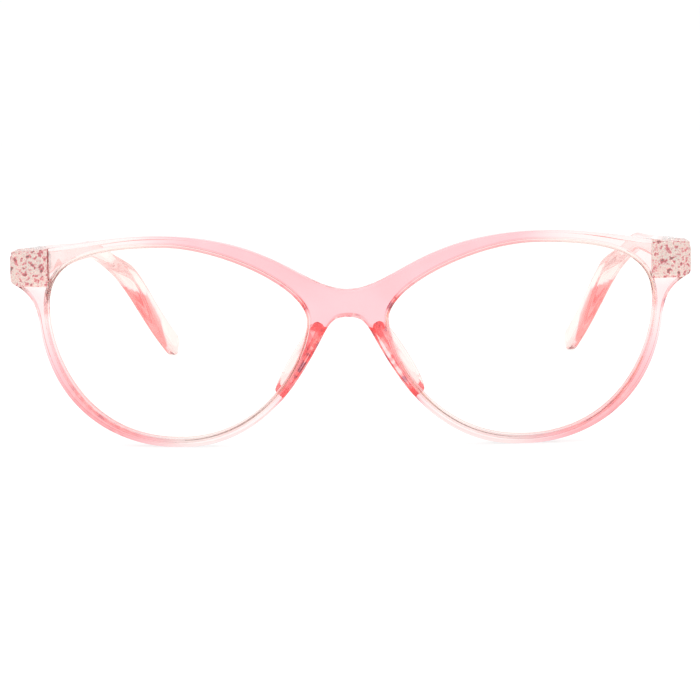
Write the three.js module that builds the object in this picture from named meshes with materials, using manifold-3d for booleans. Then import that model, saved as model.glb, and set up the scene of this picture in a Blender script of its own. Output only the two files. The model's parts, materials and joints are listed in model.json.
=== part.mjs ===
// Blue light glasses: a moulded front, two clear lenses, two bonded nose pads and two temples that
// fold on sprung hinges. Millimetres, +Z up. The front faces -Y, the temples run towards +Y, and
// left and right are the wearer's: the left side is at +X.
import * as THREE from "three";
import { mergeVertices } from "three/addons/utils/BufferGeometryUtils.js";
import Module from "manifold-3d";

const wasm = await Module();
wasm.setup();

// Front
const HALF_WIDTH = 69.5;
const FRONT_THICKNESS = 4;
const EDGE_ROUND = 0.6; // rounding of the front's outer and inner edges
const FACE_RADIUS = 370; // sphere that the front and the lenses follow
const FACE_HEIGHT = 21; // height at which that sphere is furthest forward
const BRIDGE_TOP = 32.1;
const BROW_X = 39.6;
const BROW_TOP = 43.2;
const NOSE_ARCH_TOP = 26.6;
const REST_FLAT = [34, 36]; // ends of the short flat stretch that the rim stands on

// Lenses and their groove
const LENS_THICKNESS = 1.8;
const LENS_SEAT = 0.6; // how far the lens reaches into the rim
const LENS_INSET = 1.1; // from the front face of the rim to the front of the lens
const LENS_CENTRE_X = 35;
const GROOVE_PLAY = 0.2; // in front of and behind the lens
const GROOVE_DEPTH = 0.9;
const BLANK_RADIUS = 32;

// End pieces, where the front turns back to meet the temples
const END_INNER_X = 61.6;
const END_FRONT_Y = 8; // inside the face, so that the end piece and the face join
const END_TAPER_Y = 10; // the outer wall leans inwards behind this
const END_CORNER = 0.6;
const END_ROUND = 0.5;
const END_SHELF_Y = 12.4; // the face that the hinge plate is riveted to
const BUTT_INNER_X = 65.6;
const BUTT_OUTER_X = 69.4;
const BUTT_HEIGHT = 6.8;

// Hinge: its axis leans back by the slope of the temple
const HINGE = new THREE.Vector3(64, 16, 36.85);
const TEMPLE_SLOPE = THREE.MathUtils.degToRad(2.4);
const BUTT_GAP = 0.3; // between the end piece and the open temple
const BARREL_R = 1.25;
const BORE_R = 0.75;
const SCREW_R = 0.6;
const SCREW_HEAD_R = 1.15;
const SCREW_HEAD_HEIGHT = 0.7;
const MIDDLE_KNUCKLE = 1.5; // height of the temple's knuckle
const OUTER_KNUCKLE = 1.45; // height of each of the front's two knuckles
const KNUCKLE_PLAY = 0.1;
const PLATE = { from: -1.3, to: 1.3, thick: 1, height: 5 };
const STUD_R = 0.5;
const STUD_LENGTH = 2.8;
const STUD_HEIGHTS = [-1.5, 1.5];
const ARM_HALF_WIDTH = 0.95; // of the two arms between the plate and its knuckles
const NECK_HALF_HEIGHT = 1.1; // of the slot that the slider's neck passes through
const STUD_SEAT = 0.15; // extra gap behind the plate
const CLEAR = 0.3; // between pieces that touch

// Spring housing, sunk into the temple. Its positions are from the hinge axis.
const HOUSING = { x: 2.1, width: 2.7, height: 3.5, start: 2.05, end: 14.05 };
const CHANNEL = { width: 1.7, height: 2.3, end: 6.9 };
const WALL_END = 7.7; // rear of the wall that the spring pushes on
const CHAMBER = { width: 2.1, height: 2.3 };
const PLUG_LENGTH = 0.9;
const SLIDER = { width: 1.3, end: 6.5 };
const ROD_R = 0.3;
const ROD_BORE_R = 0.45;
const ROD_START = 5.2;
const ROD_HEAD = { radius: 0.85, from: 12.1, to: 12.7 };
const SPRING = { radius: 0.62, wire: 0.13, turns: 6, from: 7.95, to: 11.85 };

// Temple, measured along its own length from the hinge axis
const TEMPLE_START = BUTT_GAP / 2;
const STRAIGHT_LENGTH = 72;
const EAR_RADIUS = 62;
const EAR_TURN = THREE.MathUtils.degToRad(41);
const EAR_LENGTH = 22.6;
const TEMPLE_STEPS = 34;
const TEMPLE_BOW = 0.0001; // inward bow, in 1/mm, all along the temple
const EAR_BOW_START = 73;
const EAR_BOW = 0.0039; // extra inward bow behind that point
const TEMPLE_OUTER_X = BUTT_OUTER_X - HINGE.x;

// Nose pads
const PAD_TOP = new THREE.Vector3(4.3, 0, 24.7);
const PAD_FOOT = new THREE.Vector3(13.5, 0, 9.6);
const PAD_DEPTH = 7.6;
const PAD_THICKNESS = 2.2;
const PAD_ROUND = 0.6;
const PAD_SUNK = 2; // starts this far inside the rim, before the rim's share is cut away
const PAD_FLARE = THREE.MathUtils.degToRad(8);

const BLUSH = 0xf9b9c2;

// How far the front's sphere falls back behind its most forward point
function sag(x, z) {
  return FACE_RADIUS - Math.sqrt(FACE_RADIUS ** 2 - x ** 2 - (z - FACE_HEIGHT) ** 2);
}

function smooth(from, to, value) {
  return THREE.MathUtils.smoothstep(value, from, to);
}

// A copy that shares its corners and has nothing but their places
function bareCopy(geometry) {
  const bare = new THREE.BufferGeometry();
  bare.setAttribute("position", geometry.getAttribute("position"));
  bare.setIndex(geometry.getIndex());
  return mergeVertices(bare, 1e-4);
}

function solidOf(geometry) {
  const merged = bareCopy(geometry);
  return new wasm.Manifold(
    new wasm.Mesh({
      numProp: 3,
      vertProperties: merged.attributes.position.array,
      triVerts: new Uint32Array(merged.index.array),
    }),
  );
}

function geometryOf(solid) {
  const { vertProperties, triVerts } = solid.getMesh();
  const geometry = new THREE.BufferGeometry();
  geometry.setAttribute("position", new THREE.BufferAttribute(vertProperties, 3));
  geometry.setIndex(new THREE.BufferAttribute(triVerts, 1));
  return geometry;
}

function join(...geometries) {
  return geometryOf(geometries.map(solidOf).reduce((whole, piece) => whole.add(piece)));
}

function cut(geometry, ...cutters) {
  return geometryOf(
    cutters.map(solidOf).reduce((whole, cutter) => whole.subtract(cutter), solidOf(geometry)),
  );
}

// A box between two corners
function block(low, high) {
  const [width, depth, height] = high.map((value, i) => value - low[i]);
  const geometry = new THREE.BoxGeometry(width, depth, height);
  return geometry.translate(...high.map((value, i) => (value + low[i]) / 2));
}

// A round bar along Z, about the hinge axis unless moved
function uprightBar(radius, from, to, sides = 18) {
  const geometry = new THREE.CylinderGeometry(radius, radius, to - from, sides);
  return geometry.rotateX(Math.PI / 2).translate(0, 0, (from + to) / 2);
}

// A round bar along Y
function lengthwiseBar(radius, from, to, x, z, sides = 12) {
  const geometry = new THREE.CylinderGeometry(radius, radius, to - from, sides);
  return geometry.translate(x, (from + to) / 2, z);
}

// A flat outline in X and Z, given thickness along Y from a front face at y = 0
function plate(shape, thickness, round = 0) {
  const geometry = new THREE.ExtrudeGeometry(shape, {
    depth: thickness - 2 * round,
    bevelEnabled: round > 0,
    bevelThickness: round,
    bevelSize: round,
    bevelOffset: -round,
    bevelSegments: 2,
  });
  return geometry.rotateX(Math.PI / 2).translate(0, thickness - round, 0);
}

// Presses a flat piece onto the front's sphere
function curved(geometry) {
  const place = geometry.getAttribute("position");
  for (let i = 0; i < place.count; i++) {
    place.setY(i, place.getY(i) + sag(place.getX(i), place.getZ(i)));
  }
  return geometry;
}

// A closed loop of points pushed outwards by a distance
function grown(points, distance) {
  return points.map((point, i) => {
    const before = points[(i + points.length - 1) % points.length];
    const after = points[(i + 1) % points.length];
    const along = after.clone().sub(before).normalize();
    return point.clone().add(new THREE.Vector2(-along.y, along.x).multiplyScalar(distance));
  });
}

// The left half of the front's outline, from the top of the bridge round to the nose arch
function halfOutline() {
  const path = new THREE.Path();
  path.moveTo(0, BRIDGE_TOP);
  path.bezierCurveTo(9.2, BRIDGE_TOP, BROW_X - 25, BROW_TOP, BROW_X, BROW_TOP);
  path.bezierCurveTo(BROW_X + 9, BROW_TOP, HALF_WIDTH - 15.9, 41.8, HALF_WIDTH - 1, 39.9);
  path.quadraticCurveTo(HALF_WIDTH, 39.7, HALF_WIDTH, 38.7);
  path.lineTo(HALF_WIDTH, 34.8);
  path.quadraticCurveTo(HALF_WIDTH, 33.7, 68.5, 33.3);
  path.bezierCurveTo(64.6, 31.4, 63.9, 28, 63.6, 25.5);
  path.bezierCurveTo(61.2, 5.2, REST_FLAT[1] + 9.5, 0, REST_FLAT[1], 0);
  path.lineTo(REST_FLAT[0], 0);
  path.bezierCurveTo(REST_FLAT[0] - 7.6, 0, 17.3, 3.7, 10.3, 14);
  path.bezierCurveTo(3.6, 23.9, 4.7, NOSE_ARCH_TOP, 0, NOSE_ARCH_TOP);
  return path.getPoints(9);
}

// The visible edge of the left lens
function apertureLoop() {
  const path = new THREE.Path();
  path.moveTo(37.6, 40.9);
  path.bezierCurveTo(20.4 + 5.6, 40.9, 8.2, 26 + 6.7, 8.2, 26);
  path.bezierCurveTo(8.2, 19.6, 16.3, 1.8, 35.3, 1.8);
  path.bezierCurveTo(54.8, 1.8, 61.6, 18.7, 61.6, 28.7);
  path.bezierCurveTo(61.6, 37.3, 54.8, 40.9, 37.6, 40.9);
  return path.getPoints(11).slice(1).reverse();
}

function mirrored(points) {
  return points.map((point) => new THREE.Vector2(-point.x, point.y)).reverse();
}

// Turns and moves a piece from the hinge's own axes to the glasses' axes, on one side
function atHinge(geometry) {
  return geometry.rotateX(-TEMPLE_SLOPE).translate(HINGE.x, HINGE.y, HINGE.z);
}

// The same piece on the other side of the glasses
function mirror(geometry) {
  const other = bareCopy(geometry).scale(-1, 1, 1);
  const corners = other.getIndex();
  for (let i = 0; i < corners.count; i += 3) {
    const first = corners.getX(i);
    corners.setX(i, corners.getX(i + 1));
    corners.setX(i + 1, first);
  }
  return other;
}

function frontFrame() {
  const half = halfOutline();
  const outline = new THREE.Shape([...half, ...mirrored(half.slice(1, -1))].reverse());
  const aperture = apertureLoop();
  outline.holes = [new THREE.Path(aperture), new THREE.Path(mirrored(aperture))];
  const face = curved(plate(outline, FRONT_THICKNESS, EDGE_ROUND));

  const endPiece = endBlock();
  const grooveShape = new THREE.Shape(grown(aperture, GROOVE_DEPTH));
  const groove = curved(
    plate(grooveShape, LENS_THICKNESS + 2 * GROOVE_PLAY).translate(0, LENS_INSET - GROOVE_PLAY, 0),
  );
  // Everything behind the face that the open temple comes up to
  const beyondButt = atHinge(block([-3, -BUTT_GAP / 2, -6], [8, 8, 6]));
  const studHoles = STUD_HEIGHTS.map((z) =>
    atHinge(lengthwiseBar(STUD_R + CLEAR, hingePlateFront() - STUD_LENGTH - CLEAR, -1, 0, z)),
  );
  const cutters = [groove, beyondButt, ...studHoles];
  return cut(join(face, endPiece, mirror(endPiece)), ...cutters, ...cutters.map(mirror));
}

// The end piece behind the face: a thick shelf for the hinge, then the outer wall back to the butt
function endBlock() {
  const outline = new THREE.Shape();
  const rear = HINGE.y + 1;
  outline.moveTo(END_INNER_X, END_FRONT_Y);
  outline.lineTo(HALF_WIDTH, END_FRONT_Y);
  outline.lineTo(HALF_WIDTH, END_TAPER_Y);
  outline.lineTo(BUTT_OUTER_X, rear);
  outline.lineTo(BUTT_INNER_X, rear);
  outline.lineTo(BUTT_INNER_X, END_SHELF_Y + END_CORNER);
  outline.lineTo(BUTT_INNER_X - END_CORNER, END_SHELF_Y);
  outline.lineTo(END_INNER_X, END_SHELF_Y);
  const geometry = new THREE.ExtrudeGeometry(outline, {
    depth: BUTT_HEIGHT - 2 * END_ROUND,
    bevelThickness: END_ROUND,
    bevelSize: END_ROUND,
    bevelOffset: -END_ROUND,
    bevelSegments: 1,
  });
  return geometry.translate(0, 0, HINGE.z - BUTT_HEIGHT / 2 + END_ROUND);
}

// A lens ground to a sphere on both faces, then edged to the rim
function lens() {
  const profile = [];
  const rings = 4;
  for (let i = 0; i <= rings; i++) {
    const radius = (BLANK_RADIUS * i) / rings;
    profile.push(new THREE.Vector2(radius, -sag(radius, FACE_HEIGHT)));
  }
  const rear = profile.map((point) => new THREE.Vector2(point.x, point.y - LENS_THICKNESS));
  const blank = new THREE.LatheGeometry([...rear, ...profile.reverse()], 32)
    .rotateX(Math.PI)
    .translate(0, -FACE_RADIUS, 0)
    .rotateZ(Math.asin(LENS_CENTRE_X / FACE_RADIUS))
    .translate(0, FACE_RADIUS + LENS_INSET, FACE_HEIGHT);
  const edge = new THREE.Shape(grown(apertureLoop(), LENS_SEAT));
  const edging = plate(edge, 20).translate(0, -5, 0);
  return geometryOf(solidOf(blank).intersect(solidOf(edging)));
}

// A rounded pad that runs down the side of the nose and flares back from the rim
function nosePad() {
  const down = PAD_FOOT.clone().sub(PAD_TOP);
  const length = down.length();
  down.normalize();
  const across = new THREE.Vector3(-down.z, 0, down.x);
  const back = new THREE.Vector3(0, Math.cos(PAD_FLARE), 0).addScaledVector(across, Math.sin(PAD_FLARE));
  const through = new THREE.Vector3().crossVectors(down, back);
  const outline = new THREE.Shape();
  outline.moveTo(0, 0);
  outline.lineTo(length, 0);
  outline.bezierCurveTo(length, PAD_DEPTH * 0.7, length * 0.8, PAD_DEPTH, length * 0.55, PAD_DEPTH);
  outline.bezierCurveTo(length * 0.25, PAD_DEPTH, 0, PAD_DEPTH * 0.8, 0, 0);
  const geometry = new THREE.ExtrudeGeometry(outline, {
    depth: PAD_THICKNESS - 2 * PAD_ROUND,
    bevelThickness: PAD_ROUND,
    bevelSize: PAD_ROUND,
    bevelOffset: -PAD_ROUND,
    bevelSegments: 2,
    curveSegments: 8,
  });
  geometry.translate(0, 0, PAD_ROUND);
  geometry.applyMatrix4(new THREE.Matrix4().makeBasis(down, back, through));
  const rimTop = FRONT_THICKNESS + sag(PAD_TOP.x, PAD_TOP.z);
  geometry.translate(PAD_TOP.x, rimTop - PAD_SUNK, PAD_TOP.z);
  const rimRear = FRONT_THICKNESS + sag(PAD_FOOT.x, PAD_FOOT.z) + CLEAR;
  return cut(geometry, block([-5, -5, 0], [30, rimRear, 40]));
}

// Front of the plate that is riveted to the end piece, from the hinge axis
function hingePlateFront() {
  return END_SHELF_Y + CLEAR + STUD_SEAT - HINGE.y;
}

// The front's half of the hinge: a riveted plate that carries the two outer knuckles
function hingeFrontLeaf() {
  const front = hingePlateFront();
  const rear = front + PLATE.thick;
  const low = [PLATE.from, front, -PLATE.height / 2];
  const pieces = [block(low, [PLATE.to, rear, PLATE.height / 2])];
  const inner = MIDDLE_KNUCKLE / 2 + KNUCKLE_PLAY;
  for (const from of [inner, -inner - OUTER_KNUCKLE]) {
    const to = from + OUTER_KNUCKLE;
    pieces.push(block([-ARM_HALF_WIDTH, rear - 0.2, from], [ARM_HALF_WIDTH, 0, to]));
    pieces.push(uprightBar(BARREL_R, from, to));
  }
  for (const z of STUD_HEIGHTS) {
    pieces.push(lengthwiseBar(STUD_R, front - STUD_LENGTH, front + 0.2, 0, z));
  }
  return cut(join(...pieces), uprightBar(BORE_R, -4, 4));
}

// The temple's half of the hinge: a knuckle on a bar that slides in the spring housing
function hingeSlider() {
  const x = HOUSING.x;
  const halfHeight = MIDDLE_KNUCKLE / 2;
  const outline = new THREE.Shape();
  outline.moveTo(0.7, -0.9);
  outline.lineTo(x + SLIDER.width / 2, HOUSING.start - 0.4);
  outline.lineTo(x + SLIDER.width / 2, SLIDER.end);
  outline.lineTo(x - SLIDER.width / 2, SLIDER.end);
  outline.lineTo(x - SLIDER.width / 2, HOUSING.start - 0.35);
  outline.lineTo(-0.8, 0.7);
  const bar = new THREE.ExtrudeGeometry(outline, { depth: MIDDLE_KNUCKLE, bevelEnabled: false });
  bar.translate(0, 0, -halfHeight);
  const whole = join(bar, uprightBar(BARREL_R, -halfHeight, halfHeight));
  const rodHole = lengthwiseBar(ROD_BORE_R, ROD_START - 0.15, SLIDER.end + 1, x, 0);
  return cut(whole, uprightBar(BORE_R, -4, 4), rodHole);
}

function hingeScrew() {
  const top = MIDDLE_KNUCKLE / 2 + KNUCKLE_PLAY + OUTER_KNUCKLE;
  const headFrom = top + KNUCKLE_PLAY;
  const headTo = headFrom + SCREW_HEAD_HEIGHT;
  const shank = uprightBar(SCREW_R, -top - 0.2, headFrom + 0.1);
  const head = uprightBar(SCREW_HEAD_R, headFrom, headTo);
  const slot = block([-0.2, -2, headTo - 0.35], [0.2, 2, headTo + 1]);
  return cut(join(shank, head), slot);
}

function springHousing() {
  const { x, width, height, start, end } = HOUSING;
  const body = block([x - width / 2, start, -height / 2], [x + width / 2, end, height / 2]);
  const channel = centredBox(x, CHANNEL.width, CHANNEL.height, start - 1, CHANNEL.end);
  const bore = lengthwiseBar(ROD_BORE_R, CHANNEL.end - 1, WALL_END + 1, x, 0);
  const chamber = centredBox(x, CHAMBER.width, CHAMBER.height, WALL_END, end + 1);
  return cut(body, channel, bore, chamber);
}

function centredBox(x, width, height, from, to) {
  return block([x - width / 2, from, -height / 2], [x + width / 2, to, height / 2]);
}

function housingPlug() {
  const { width, height } = CHAMBER;
  const play = 0.1;
  return centredBox(HOUSING.x, width - play, height - play, HOUSING.end - PLUG_LENGTH, HOUSING.end);
}

function guideRod() {
  const shaft = lengthwiseBar(ROD_R, ROD_START, ROD_HEAD.to, HOUSING.x, 0);
  return join(shaft, lengthwiseBar(ROD_HEAD.radius, ROD_HEAD.from, ROD_HEAD.to, HOUSING.x, 0));
}

class Coil extends THREE.Curve {
  getPoint(t, target = new THREE.Vector3()) {
    const turn = 2 * Math.PI * SPRING.turns * t;
    return target.set(
      HOUSING.x + SPRING.radius * Math.cos(turn),
      THREE.MathUtils.lerp(SPRING.from, SPRING.to, t),
      SPRING.radius * Math.sin(turn),
    );
  }
}

function hingeSpring() {
  const section = new THREE.Shape();
  section.absarc(0, 0, SPRING.wire, 0, 2 * Math.PI);
  return new THREE.ExtrudeGeometry(section, {
    extrudePath: new Coil(),
    steps: SPRING.turns * 10,
    curveSegments: 3,
    bevelEnabled: false,
  });
}

// Thickness of the temple: stout at the hinge, slim along the arm, full again behind the ear
function templeThickness(along) {
  const arm = THREE.MathUtils.lerp(TEMPLE_OUTER_X - 1.6, 2.4, smooth(16, 42, along));
  const ear = THREE.MathUtils.lerp(4.6, 3.1, smooth(102, 137, along));
  return THREE.MathUtils.lerp(arm, ear, smooth(93, 104, along));
}

function templeHeight(along) {
  const arm = THREE.MathUtils.lerp(BUTT_HEIGHT, 4.2, smooth(8, 70, along));
  return THREE.MathUtils.lerp(arm, 7, smooth(90, 130, along));
}

// How far the temple has bent inwards at a distance behind the hinge
function templeBow(y) {
  return TEMPLE_BOW * y ** 2 + EAR_BOW * Math.max(0, y - EAR_BOW_START) ** 2;
}

// The temple's middle line, seen from the side: straight, then down round the ear
function templeLine(along) {
  const turned = THREE.MathUtils.clamp((along - STRAIGHT_LENGTH) / EAR_RADIUS, 0, EAR_TURN);
  const straight = Math.min(along, STRAIGHT_LENGTH);
  const ear = Math.max(0, along - STRAIGHT_LENGTH - EAR_RADIUS * EAR_TURN);
  return {
    y: straight + EAR_RADIUS * Math.sin(turned) + ear * Math.cos(turned),
    z: -EAR_RADIUS * (1 - Math.cos(turned)) - ear * Math.sin(turned),
    turned,
  };
}

function temple() {
  const section = new THREE.Shape();
  const corners = 16;
  for (let i = 0; i < corners; i++) {
    const angle = ((i + 0.5) / corners) * 2 * Math.PI;
    const u = Math.sign(Math.cos(angle)) * Math.abs(Math.cos(angle)) ** 0.5;
    const v = Math.sign(Math.sin(angle)) * Math.abs(Math.sin(angle)) ** 0.5;
    section[i ? "lineTo" : "moveTo"](u / 2, v / 2);
  }
  const bar = new THREE.ExtrudeGeometry(section, {
    depth: 1,
    steps: TEMPLE_STEPS,
    bevelEnabled: false,
  });
  const total = STRAIGHT_LENGTH + EAR_RADIUS * EAR_TURN + EAR_LENGTH;
  const place = bar.getAttribute("position");
  for (let i = 0; i < place.count; i++) {
    const step = place.getZ(i);
    const along = THREE.MathUtils.lerp(TEMPLE_START, total, Math.sin((step * Math.PI) / 2) ** 1.1);
    const tip = Math.sqrt(Math.max(0, 1 - smooth(total - 3, total, along) ** 2 * 0.9));
    const { y, z, turned } = templeLine(along);
    const rise = place.getY(i) * templeHeight(along) * tip;
    const thickness = templeThickness(along);
    const outer = TEMPLE_OUTER_X - templeBow(y) - (thickness * (1 - tip)) / 2;
    const x = outer - (0.5 + place.getX(i)) * thickness * tip;
    place.setXYZ(i, x, y + rise * Math.sin(turned), z + rise * Math.cos(turned));
  }
  const { x, width, height, start, end } = HOUSING;
  const pocket = block(
    [-2, start - CLEAR, -height / 2 - CLEAR],
    [x + width / 2 + CLEAR, end + CLEAR, height / 2 + CLEAR],
  );
  const neckSlot = block([-2, -1, -NECK_HALF_HEIGHT], [x + 1.1, start, NECK_HALF_HEIGHT]);
  return cut(bar, pocket, neckSlot);
}

const plastic = (color, opacity) =>
  new THREE.MeshStandardMaterial({ color, roughness: 0.1, metalness: 0, transparent: true, opacity });
const metal = (color, roughness) =>
  new THREE.MeshStandardMaterial({ color, roughness, metalness: 1 });

const blush = plastic(BLUSH, 0.75);
const clear = plastic(0xfffdf2, 0.2);
const steel = metal(0xb9b7b4, 0.3);
const darkSteel = metal(0x8c8880, 0.4);

function mesh(name, geometry, material) {
  const made = new THREE.Mesh(geometry, material);
  made.name = name;
  made.geometry.computeVertexNormals();
  return made;
}

// Everything on one side, built for the wearer's left
function sideGroup(side) {
  const group = new THREE.Group();
  group.scale.x = side === "left" ? 1 : -1;
  group.add(mesh(`lens_${side}`, lens(), clear.clone()));
  group.add(mesh(`nose_pad_${side}`, nosePad(), blush.clone()));
  const hinge = new THREE.Group();
  hinge.position.copy(HINGE);
  hinge.rotation.x = -TEMPLE_SLOPE;
  hinge.add(mesh(`hinge_front_leaf_${side}`, hingeFrontLeaf(), steel.clone()));
  hinge.add(mesh(`hinge_screw_${side}`, hingeScrew(), darkSteel.clone()));
  hinge.add(mesh(`hinge_slider_${side}`, hingeSlider(), steel.clone()));
  hinge.add(mesh(`guide_rod_${side}`, guideRod(), darkSteel.clone()));
  hinge.add(mesh(`hinge_spring_${side}`, hingeSpring(), darkSteel.clone()));
  hinge.add(mesh(`spring_housing_${side}`, springHousing(), steel.clone()));
  hinge.add(mesh(`housing_plug_${side}`, housingPlug(), steel.clone()));
  hinge.add(mesh(`temple_${side}`, temple(), blush.clone()));
  group.add(hinge);
  return group;
}

const glasses = new THREE.Group();
glasses.add(mesh("front_frame", frontFrame(), blush.clone()));
glasses.add(sideGroup("left"), sideGroup("right"));

// The origin is under the middle of the glasses, on the surface that they stand on
const box = new THREE.Box3().setFromObject(glasses, true);
glasses.position.set(0, -(box.min.y + box.max.y) / 2, -box.min.z);

export default glasses;
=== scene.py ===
import json
import math

import bmesh
import bpy
import numpy as np
from mathutils import Matrix, Vector
from mathutils.geometry import delaunay_2d_cdt


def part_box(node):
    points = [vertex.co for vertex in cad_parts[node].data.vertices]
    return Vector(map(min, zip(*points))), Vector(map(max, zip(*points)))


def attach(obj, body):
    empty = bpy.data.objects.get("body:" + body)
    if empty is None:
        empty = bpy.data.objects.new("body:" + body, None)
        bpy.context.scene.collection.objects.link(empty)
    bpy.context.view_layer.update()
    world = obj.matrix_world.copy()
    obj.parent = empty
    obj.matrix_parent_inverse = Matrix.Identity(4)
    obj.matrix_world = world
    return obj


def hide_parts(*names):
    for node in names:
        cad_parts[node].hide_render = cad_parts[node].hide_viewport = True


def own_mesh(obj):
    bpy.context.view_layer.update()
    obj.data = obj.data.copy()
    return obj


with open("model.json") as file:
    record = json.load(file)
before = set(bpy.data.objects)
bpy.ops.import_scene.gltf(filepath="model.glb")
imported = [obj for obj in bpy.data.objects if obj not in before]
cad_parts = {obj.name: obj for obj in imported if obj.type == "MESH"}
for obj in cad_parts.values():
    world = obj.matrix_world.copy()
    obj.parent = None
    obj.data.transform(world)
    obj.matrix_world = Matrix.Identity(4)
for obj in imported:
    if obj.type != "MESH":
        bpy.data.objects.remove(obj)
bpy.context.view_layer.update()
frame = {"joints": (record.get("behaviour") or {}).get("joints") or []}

# Blue light glasses. Metres, +Z up; the front faces -Y and the wearer's left is at +X.
MM = 0.001
SIDES = {"left": 1, "right": -1}
joints = {joint["name"]: joint for joint in frame["joints"]}

# The hinge axis fixes the glasses' own lengthwise zero: the front's foremost plane is at y = FACE_Y
HINGE = Vector(joints["left_fold"]["pos_m"])
HINGE_AXIS = Vector(joints["left_fold"]["axis"])
TEMPLE_SLOPE = math.atan2(HINGE_AXIS.y, HINGE_AXIS.z)
HINGE_SETBACK = 16 * MM
FACE_Y = HINGE.y - HINGE_SETBACK

# Front
HALF_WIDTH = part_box("front_frame")[1].x
BROW_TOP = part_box("front_frame")[1].z
FRONT_THICKNESS = 4 * MM
FACE_RADIUS = 370 * MM
FACE_HEIGHT = 21 * MM
OUTER_ROUND = 0.75 * MM
INNER_ROUND = 0.4 * MM
OUTLINE_STEP = 0.6 * MM
GRID_STEP = 1.5 * MM

# Lens and groove
LENS_THICKNESS = 1.8 * MM
LENS_INSET = 1.1 * MM
LENS_SEAT = 0.6 * MM
GROOVE_PLAY = 0.2 * MM
GROOVE_DEPTH = 0.9 * MM
GROOVE_SLANT = 0.05 * MM
LENS_BEVEL = 0.12 * MM
LENS_RING = 0.1 * MM

# Meshing
FACE_RING = 0.18 * MM  # a ring just inside each rounding, so that the faces shade flat
ROW_SPACING = 0.866  # height of a row of equal triangles, as a share of the grid's step
EDGE_CLEARANCE = 0.6  # of a grid point from any outline, as a share of the grid's step
ENCLOSED = 1  # asks the triangulator for every triangle within the loops, holes included
SNAP = 1e-9
CREASE = math.radians(32)
BROKEN_EDGE = 0.08 * MM


def sag(x, z):
    """How far the front's sphere falls back behind its foremost point."""
    across = x * x + (z - FACE_HEIGHT) ** 2
    return FACE_RADIUS - math.sqrt(FACE_RADIUS**2 - across)


def on_face(x, y, z):
    """A point y behind the front's face, pressed onto its sphere."""
    return Vector((x, FACE_Y + y + sag(x, z), z))


def smooth(start, end, value):
    """0 before start, 1 after end, and eased between them."""
    t = min(1, max(0, (value - start) / (end - start)))
    return t * t * (3 - 2 * t)


def mixed(a, b, t):
    return a + (b - a) * t


# ---------------------------------------------------------------- outlines


def cubic(start, first, second, end, count=40):
    points = []
    for i in range(count):
        t = i / count
        s = 1 - t
        weights = (s**3, 3 * s * s * t, 3 * s * t * t, t**3)
        corners = (start, first, second, end)
        points.append(sum((Vector(c) * w for c, w in zip(corners, weights)), Vector((0, 0))))
    return points


def quadratic(start, handle, end, count=40):
    start, handle, end = Vector(start), Vector(handle), Vector(end)
    return cubic(start, start.lerp(handle, 2 / 3), end.lerp(handle, 2 / 3), end, count)


def spaced(points, step):
    """The same closed loop with evenly spaced points."""
    loop = points + points[:1]
    lengths = np.cumsum([0] + [(b - a).length for a, b in zip(loop, loop[1:])])
    count = max(8, round(lengths[-1] / step))
    wanted = np.linspace(0, lengths[-1], count, endpoint=False)
    xs = np.interp(wanted, lengths, [p.x for p in loop])
    ys = np.interp(wanted, lengths, [p.y for p in loop])
    return [Vector((x, y)) for x, y in zip(xs, ys)]


def turning(points):
    """Twice the area inside a loop: positive when it runs anticlockwise."""
    return sum(a.cross(b) for a, b in zip(points, points[1:] + points[:1]))


def anticlockwise(points):
    return points if turning(points) > 0 else points[::-1]


def inward(points, distance):
    """A closed anticlockwise loop moved towards its inside."""
    moved = []
    for i, point in enumerate(points):
        along = (points[(i + 1) % len(points)] - points[i - 1]).normalized()
        moved.append(point + Vector((-along.y, along.x)) * distance)
    return moved


def front_outline():
    """The front seen from ahead, in millimetres until the last line."""
    w, brow = HALF_WIDTH / MM, BROW_TOP / MM
    half = cubic((0, 32.1), (9.2, 32.1), (14.6, brow), (39.6, brow))
    half += cubic((39.6, brow), (48.6, brow), (w - 15.9, 41.8), (w - 1, 39.9))
    half += quadratic((w - 1, 39.9), (w, 39.7), (w, 38.7), 8)
    half += [Vector((w, 38.7))]
    half += quadratic((w, 34.8), (w, 33.7), (w - 1, 33.3), 8)
    half += cubic((w - 1, 33.3), (64.6, 31.4), (63.9, 28), (63.6, 25.5))
    half += cubic((63.6, 25.5), (61.2, 5.2), (45.5, 0), (36, 0))
    half += cubic((34, 0), (26.4, 0), (17.3, 3.7), (10.3, 14))
    half += cubic((10.3, 14), (3.6, 23.9), (4.7, 26.6), (0, 26.6))
    half += [Vector((0, 26.6))]
    other = [Vector((-p.x, p.y)) for p in half[-2:0:-1]]
    return anticlockwise(spaced([p * MM for p in half + other], OUTLINE_STEP))


def aperture(side):
    """The visible edge of one lens."""
    points = cubic((37.6, 40.9), (26, 40.9), (8.2, 32.7), (8.2, 26))
    points += cubic((8.2, 26), (8.2, 19.6), (16.3, 1.8), (35.3, 1.8))
    points += cubic((35.3, 1.8), (54.8, 1.8), (61.6, 18.7), (61.6, 28.7))
    points += cubic((61.6, 28.7), (61.6, 37.3), (54.8, 40.9), (37.6, 40.9))
    points = [Vector((p.x * side, p.y)) * MM for p in points]
    return anticlockwise(spaced(points, OUTLINE_STEP))


# ---------------------------------------------------------------- plates with shaped edges


def arc_profile(radius, thickness, steps=5):
    """(distance inside the outline, depth) pairs of an edge rounded at front and rear."""
    front = [
        (radius * (1 - math.cos(a)), radius * (1 - math.sin(a)))
        for a in (math.pi / 2 * (1 - i / steps) for i in range(steps + 1))
    ]
    rear = [(d, thickness - y) for d, y in reversed(front)]
    return [(radius + FACE_RING, 0), *front, *rear, (radius + FACE_RING, thickness)]


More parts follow.
